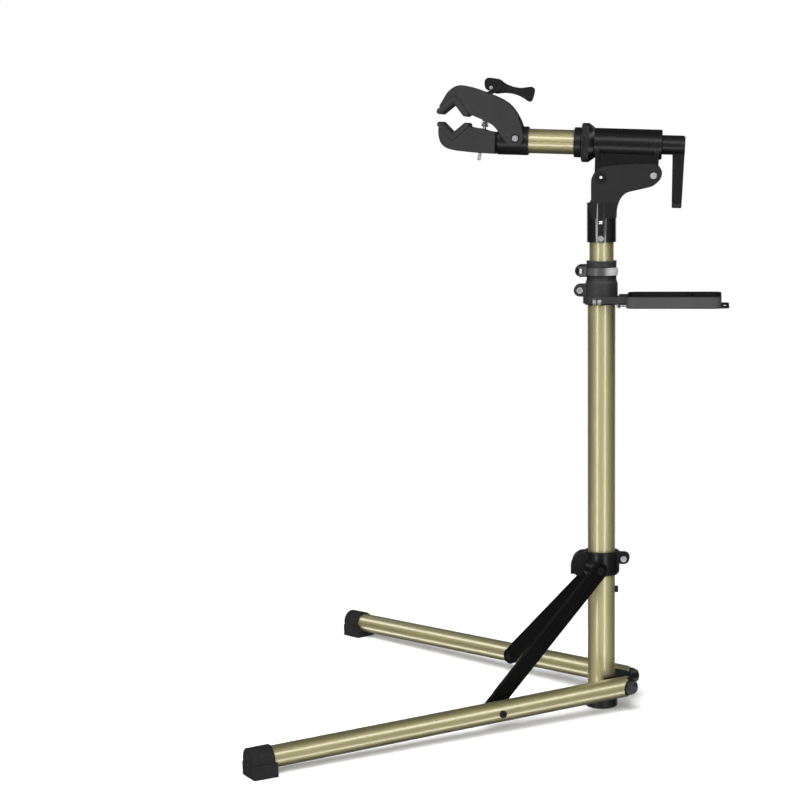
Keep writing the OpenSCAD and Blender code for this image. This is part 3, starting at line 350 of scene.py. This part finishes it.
# painted highlight: this pale base colour stands for the reflection towards the lever's free
# end, its root is painted dark
LEVER = surface("lever_coat", grey(0.36, 0.37), grey(0.28, 0.29), (0.26, 0.36), spec=0.6,
                blotch=80.0, grain=1800.0, bump=0.08, depth=0.00006, extra=painted_tip_highlight)
ACETAL = surface("pale_acetal", (0.62, 0.61, 0.56), (0.56, 0.55, 0.50), (0.38, 0.5),
                 blotch=60.0, grain=1500.0, bump=0.08, depth=0.0001)

LOOKS = [
    (GOLD, "mast_tube inner_tube"),
    (GOLD_ARM, "arm_tube"),
    (GOLD_NEAR, "leg_tube_near"),
    (GOLD_FAR, "leg_tube_far"),
    (CASTING, "lower_jaw"),
    (JAW, "upper_jaw"),
    (VEE, "lower_vee upper_vee lower_pad upper_pad"),
    (SATIN, "barrel slider_collar hub_block"),
    (FORK, "head_fork"),
    (RING, "lock_ring"),
    (PLASTIC, "crank front_collar clamp_sleeve leg_plug_near leg_plug_far "
              "tube_plug cam_lever qr_nut qr_washer saddle_plate"),
    (TRAY, "tray_pan"),
    (STRAP, "tray_strap collar"),
    (RUBBER, "leg_foot_near leg_foot_far crank_cap"),
    (SHADED_RUBBER, "mast_foot"),
    (BRACE, "brace_near brace_far"),
    (OXIDE, "leg_bolt_near leg_bolt_far brace_screws brace_nut_near brace_nut_far stop_screw"),
    (YOKE, "yoke_bolt_front"),
    (BOLT, "pivot_bolts"),
    (LEVER, "qr_lever"),
    (STEEL, "hub_screws collar_screw qr_bolt qr_pin slider_screw fork_rivets yoke_bolt_rear "
            "crank_spindle jaw_bolt drawbar jaw_spring cam_pin tray_bolt tray_screws"),
    (ACETAL, "guide_bush"),
]


def dress_nodes():
    for material, names in LOOKS:
        for n in names.split():
            slots = NODE[n].data.materials
            slots.clear()
            slots.append(material)


# width of the rounded edges in millimetres, and the nodes that have it
ROUNDED = [
    (2.2, "leg_foot_near leg_foot_far"),
    (1.2, "lower_jaw upper_jaw"),
    (1.0, "crank hub_block"),
    (0.9, "lower_vee upper_vee cam_lever"),
    (0.8, "crank_cap slider_collar"),
    (0.7, "barrel tray_pan"),
    (0.6, "tray_strap clamp_sleeve"),
    (0.5, "head_fork collar brace_near brace_far qr_lever lower_pad upper_pad"),
    (0.4, "saddle_plate pivot_bolts"),
    (0.35, "yoke_bolt_front yoke_bolt_rear leg_tube_near leg_tube_far"),
    (0.3, "jaw_bolt leg_bolt_near leg_bolt_far slider_screw collar_screw stop_screw tray_bolt "
          "mast_tube inner_tube arm_tube"),
    (0.2, "brace_nut_near brace_nut_far"),
    (0.15, "fork_rivets"),
]
WELD_DIST = 0.01 * MM
SHARP_A = 40 * RAD  # edges that turn more than this are rounded


def round_edges():
    for width, names in ROUNDED:
        for n in names.split():
            o = NODE[n]
            weld = o.modifiers.new("weld", "WELD")
            weld.merge_threshold = WELD_DIST
            bevel = o.modifiers.new("round", "BEVEL")
            bevel.width = width * MM
            bevel.segments = 3
            bevel.limit_method = "ANGLE"
            bevel.angle_limit = SHARP_A
            bevel.use_clamp_overlap = True
            bevel.harden_normals = False
            bevel.miter_outer = "MITER_ARC"
            normals = o.modifiers.new("even_shading", "WEIGHTED_NORMAL")
            normals.keep_sharp = False
            normals.weight = 80


# ---------------------------------------------------------------- piece helpers
JOIN_DIST = 1e-6  # points nearer than this are one


def piece(name, bm, matrix, material, body, replaces, blend=None):
    """A new object that rides a body. With blend it is left where it stands and rides no body:
    blend has a second body and the points where the first one's hold ends and the second one's
    begins, and these are not used."""
    bmesh.ops.recalc_face_normals(bm, faces=bm.faces)
    mesh = bpy.data.meshes.new(name)
    bm.to_mesh(mesh)
    bm.free()
    mesh.transform(matrix)
    for f in mesh.polygons:
        f.use_smooth = True
    o = bpy.data.objects.new(name, mesh)
    bpy.context.scene.collection.objects.link(o)
    mesh.materials.append(material)
    if blend:
        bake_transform(o)
    else:
        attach(o, body)
    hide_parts(*replaces)
    return o


def skin(bm, rings, caps=True):
    """Faces between closed rings of points that have the same number of points."""
    rows = [[bm.verts.new(p) for p in ring] for ring in rings]
    n = len(rows[0])
    for a, b in zip(rows, rows[1:]):
        for i in range(n):
            bm.faces.new((a[i], a[(i + 1) % n], b[(i + 1) % n], b[i]))
    if caps:
        bm.faces.new(rows[0])
        bm.faces.new(rows[-1])


def ring_points(z, radius, n):
    """Circle of points round Z. radius is a number or a function of the angle."""
    out = []
    for i in range(n):
        a = 2 * math.pi * i / n
        r = radius(a) if callable(radius) else radius
        out.append(Vector((r * math.cos(a), r * math.sin(a), z)))
    return out


# ---------------------------------------------------------------- pieces
def coil_spring():
    """Wound wire with closed end turns, on the drawbar between the jaws."""
    wire, mean = 0.6 * MM, 4.6 * MM  # radii of the wire and of the coil
    top, bottom, turns = -41.0 * MM, -55.8 * MM, 7.5
    steps, round_n = 28, 10  # points per turn and round the wire
    closed, eased = 0.08, 0.45  # share of the wire in an end turn, of the height that is eased
    bm = bmesh.new()
    path = []
    total = int(turns * steps)
    for i in range(total + 1):
        t = i / total
        inside = min(1.0, max(0.0, (t - closed) / (1 - 2 * closed)))
        ease = 0.5 - 0.5 * math.cos(math.pi * inside)
        z = top + (bottom - top) * (eased * ease + (1 - eased) * t)
        a = 2 * math.pi * turns * t
        path.append(Vector((mean * math.cos(a), mean * math.sin(a), z)))
    rings = []
    for i, p in enumerate(path):
        ahead = (path[min(i + 1, total)] - path[max(i - 1, 0)]).normalized()
        out = Vector((p.x, p.y, 0)).normalized()
        up = ahead.cross(out).normalized()
        out = up.cross(ahead)
        rings.append([p + wire * (math.cos(a) * out + math.sin(a) * up)
                      for a in (2 * math.pi * k / round_n for k in range(round_n))])
    skin(bm, rings)
    # its upper end sits in the upper jaw and its lower end on the lower one; piece is given
    # these points but does not use them
    ends = [ROD @ Vector((0, 0, z)) for z in (top - 2 * wire, bottom + 2 * wire)]
    return piece("spring_coil", bm, ROD, STEEL, "jaw", ["jaw_spring"],
                 blend=("arm", *ends))


def threaded(bm, radius, pitch, z0, z1, n):
    """Cylinder of n points round whose skin carries a helical thread from z0 to z1."""
    rows, run_out, depth = 4, 3, 0.35 * MM  # rows per turn, and rows that the thread fades over
    count = int(abs(z1 - z0) / pitch * rows)
    rings = []
    for k in range(count + 1):
        z = z0 + (z1 - z0) * k / count
        fade = min(1.0, k / run_out, (count - k) / run_out)

        def r(a, z=z, fade=fade):
            phase = (z / pitch - a / (2 * math.pi)) % 1.0
            return radius - depth * fade * abs(2 * phase - 1)

        rings.append(ring_points(z, r, n))
    skin(bm, rings)


def draw_rod():
    """The jaws' drawbar with its eye and the thread at its lower end."""
    r, n, pitch, chamfer = 2.5 * MM, 20, 0.8 * MM, 0.5 * MM
    tip, start, end = -ROD_LEN, -ROD_LEN + 0.6 * MM, -ROD_LEN + 26 * MM  # the thread's ends
    middle, neck = -30 * MM, -3 * MM
    bm = bmesh.new()
    threaded(bm, r, pitch, start, end, n)
    skin(bm, [ring_points(tip, r - chamfer, n), ring_points(start, r, n)])
    skin(bm, [ring_points(z, r, n) for z in (end, middle, neck)])
    # eye round the cam's pin
    half, hole, outer, eye_n = 3.0 * MM, 2.6 * MM, 4.4 * MM, 32
    shape = [(hole, -half), (outer - chamfer, -half), (outer, -half + chamfer),
             (outer, half - chamfer), (outer - chamfer, half), (hole, half)]
    rings = []
    for i in range(eye_n + 1):
        a = 2 * math.pi * i / eye_n
        rings.append([Vector((q * math.cos(a), y, q * math.sin(a))) for q, y in shape])
    skin(bm, rings, caps=False)
    bmesh.ops.remove_doubles(bm, verts=bm.verts, dist=JOIN_DIST)
    return piece("draw_rod", bm, ROD, STEEL, "jaw", ["drawbar"])


def knurled_ring():
    """The lock ring with a diamond knurl round its rim and a coned flank. Its sizes are in
    millimetres, with x along the arm."""
    front, back = -30.2, -11.4
    knurl_0, knurl_1 = -28.9, -19.6
    cone_0, cone_1 = -18.9, -18.0
    bore_end = -24.4  # of the wider bore
    outer, seat, bore, wide_bore = 28.0, 21.8, 17.8, 19.6  # radii
    n, count, rows = 480, 96, 30
    cut, pitch, land, flank = 1.1, 1.83, 0.55, 2.2  # depth, pitch, flat tops, slope

    def knurl(x, a):
        u, v = count * a / 2, math.pi * (x - knurl_0) / pitch
        ridge = max(abs(math.sin(u + v)), abs(math.sin(u - v)))
        return outer - cut + cut * (1 - ridge) * flank if ridge > land else outer

    profile = [(front + 0.6, bore), (front, bore + 0.6), (front, outer - 2.0),
               (front + 0.5, outer - 1.0), (knurl_0, outer - 0.4)]
    tail = [(knurl_1, outer - 0.4), (cone_0, outer - 1.3), (cone_1, outer - 1.5),
            (back - 0.5, seat + 0.2), (back, seat - 0.3), (back, wide_bore),
            (bore_end, wide_bore), (bore_end, bore)]
    rings = [ring_points(x * MM, r * MM, n) for x, r in profile]
    for k in range(1, rows):
        x = knurl_0 + (knurl_1 - knurl_0) * k / rows
        rings.append(ring_points(x * MM, lambda a, x=x: knurl(x, a) * MM, n))
    rings += [ring_points(x * MM, r * MM, n) for x, r in tail]
    rings.append(rings[0])
    bm = bmesh.new()
    skin(bm, rings, caps=False)
    bmesh.ops.remove_doubles(bm, verts=bm.verts, dist=JOIN_DIST)
    turn = ARM @ Matrix.Rotation(math.pi / 2, 4, "Y")
    return piece("lock_ring_knurled", bm, turn, RING, "ring", ["lock_ring"])


# ---------------------------------------------------------------- studio
# angles in degrees: azimuths from the front, heights from the horizon
UPRIGHT_STRIPS = ((-33.5, 3.1), (31.5, 2.9), (150.0, 0.8), (-150.0, 0.8))  # azimuth, strength
LEVEL_STRIPS = ((34.0, 3.3), (-35.0, 3.0))  # height, strength
STRIP_HALF, STRIP_SOFT = 5.2, 2.0  # half width and soft edge of a strip
UPRIGHT_HALF, UPRIGHT_SOFT = 34.0, 10.0  # half height of the upright strips and its soft end
LEVEL_ARC = (128.0, 106.0)  # azimuths where the level strips begin and are full
FRONT_ARC, REAR_ARC = (110.0, 20.0), (150.0, 175.0)  # where the room's two glows begin, are full
FRONT, REAR, ROOM = 0.15, 0.02, 0.04  # strengths of the two glows and of the room all round


def add_world():
    """White to the camera. For light and reflections a grey room, brighter in front, with
    upright and level strip lights."""
    world = bpy.data.worlds.new("studio")
    world.use_nodes = True
    bpy.context.scene.world = world
    g = Graph(world.node_tree)
    x, y, z = g.xyz(g.node("TexCoord").outputs["Generated"])
    turn = g.product(g.math("ARCTAN2", x, g.product(y, -1.0)), 1 / RAD)
    rise = g.product(g.math("ARCSINE", z), 1 / RAD)
    away = g.math("ABSOLUTE", turn)

    def band(value, centre, half, soft):
        off = g.math("ABSOLUTE", g.math("SUBTRACT", value, centre))
        return g.span(off, half + soft, half, smooth=True)

    front = g.span(away, *FRONT_ARC, 0.0, FRONT, smooth=True)
    rear = g.span(away, *REAR_ARC, 0.0, REAR, smooth=True)
    total = g.math("ADD", g.math("ADD", front, rear), ROOM)
    low = band(rise, 0.0, UPRIGHT_HALF, UPRIGHT_SOFT)
    ahead = g.span(away, *LEVEL_ARC, smooth=True)
    strips = [(turn, low, strip) for strip in UPRIGHT_STRIPS]
    strips += [(rise, ahead, strip) for strip in LEVEL_STRIPS]
    for value, limit, (centre, power) in strips:
        strip = g.product(band(value, centre, STRIP_HALF, STRIP_SOFT), limit, power)
        total = g.math("ADD", total, strip)
    room = g.node("Background", {"Color": rgb(1, 1, 1), "Strength": total})
    white = g.node("Background", {"Color": rgb(1, 1, 1), "Strength": 1.0})
    seen = g.node("LightPath").outputs["Is Camera Ray"]
    both = g.node("MixShader", {0: seen, 1: room.outputs[0], 2: white.outputs[0]})
    g.node("OutputWorld", {"Surface": both.outputs[0]})


def area(name, where, target, size, power):
    """A soft rectangular light that reflections don't show."""
    data = bpy.data.lights.new(name, "AREA")
    data.shape = "RECTANGLE"
    data.size, data.size_y = size
    data.energy = power
    o = bpy.data.objects.new(name, data)
    aim = (Vector(target) - Vector(where)).to_track_quat("-Z", "Y").to_matrix().to_4x4()
    o.matrix_world = Matrix.Translation(where) @ aim
    o.visible_glossy = False
    bpy.context.scene.collection.objects.link(o)


def add_lights():
    area("top_soft", (-0.3, -1.6, 2.2), (-0.2, 0, 0.1), (1.8, 1.4), 92)
    area("front_soft", (-0.4, -2.8, 1.5), (-0.1, 0, 0.5), (2.0, 1.6), 16)
    area("rear_soft", (0.2, 2.4, 1.3), (-0.2, 0, 0), (2.0, 0.8), 16)


FLOOR_HALF, FLOOR_CELLS = 14, 24
FLOOR_DROP = 0.4 * MM  # keeps the floor just clear of the feet
STAND_MIDDLE = (-0.2, 0.0, 0.0)
FADE = (0.75, 1.5)  # distances from there between which the floor turns white


def add_floor():
    """Pale floor that fades into the white room away from the stand."""
    bm = bmesh.new()
    bmesh.ops.create_grid(bm, x_segments=FLOOR_CELLS, y_segments=FLOOR_CELLS, size=FLOOR_HALF)
    mesh = bpy.data.meshes.new("floor")
    bm.to_mesh(mesh)
    bm.free()
    o = bpy.data.objects.new("floor", mesh)
    o.location = (0, 0, -FLOOR_DROP)
    bpy.context.scene.collection.objects.link(o)
    m = bpy.data.materials.new("pale_floor")
    m.use_nodes = True
    g = Graph(m.node_tree)
    place = g.node("TexCoord").outputs["Object"]
    tint = g.mix(g.noise(place, 3.0), rgb(*grey(0.90)), rgb(*grey(0.88)))
    diffuse = g.node("BsdfDiffuse", {"Color": tint})
    glow = g.node("Emission", {"Color": rgb(1, 1, 1), "Strength": 1.0})
    middle = g.node("VectorMath", {0: place, 1: STAND_MIDDLE},
                    operation="DISTANCE").outputs["Value"]
    far = g.span(middle, *FADE, smooth=True)
    both = g.node("MixShader", {0: far, 1: diffuse.outputs[0], 2: glow.outputs[0]})
    g.node("OutputMaterial", {"Surface": both.outputs[0]})
    mesh.materials.append(m)
    o.visible_glossy = False


bpy.context.scene.view_settings.view_transform = "Standard"
add_camera()
add_world()
add_lights()
add_floor()
dress_nodes()
round_edges()
coil_spring()
draw_rod()
knurled_ring()
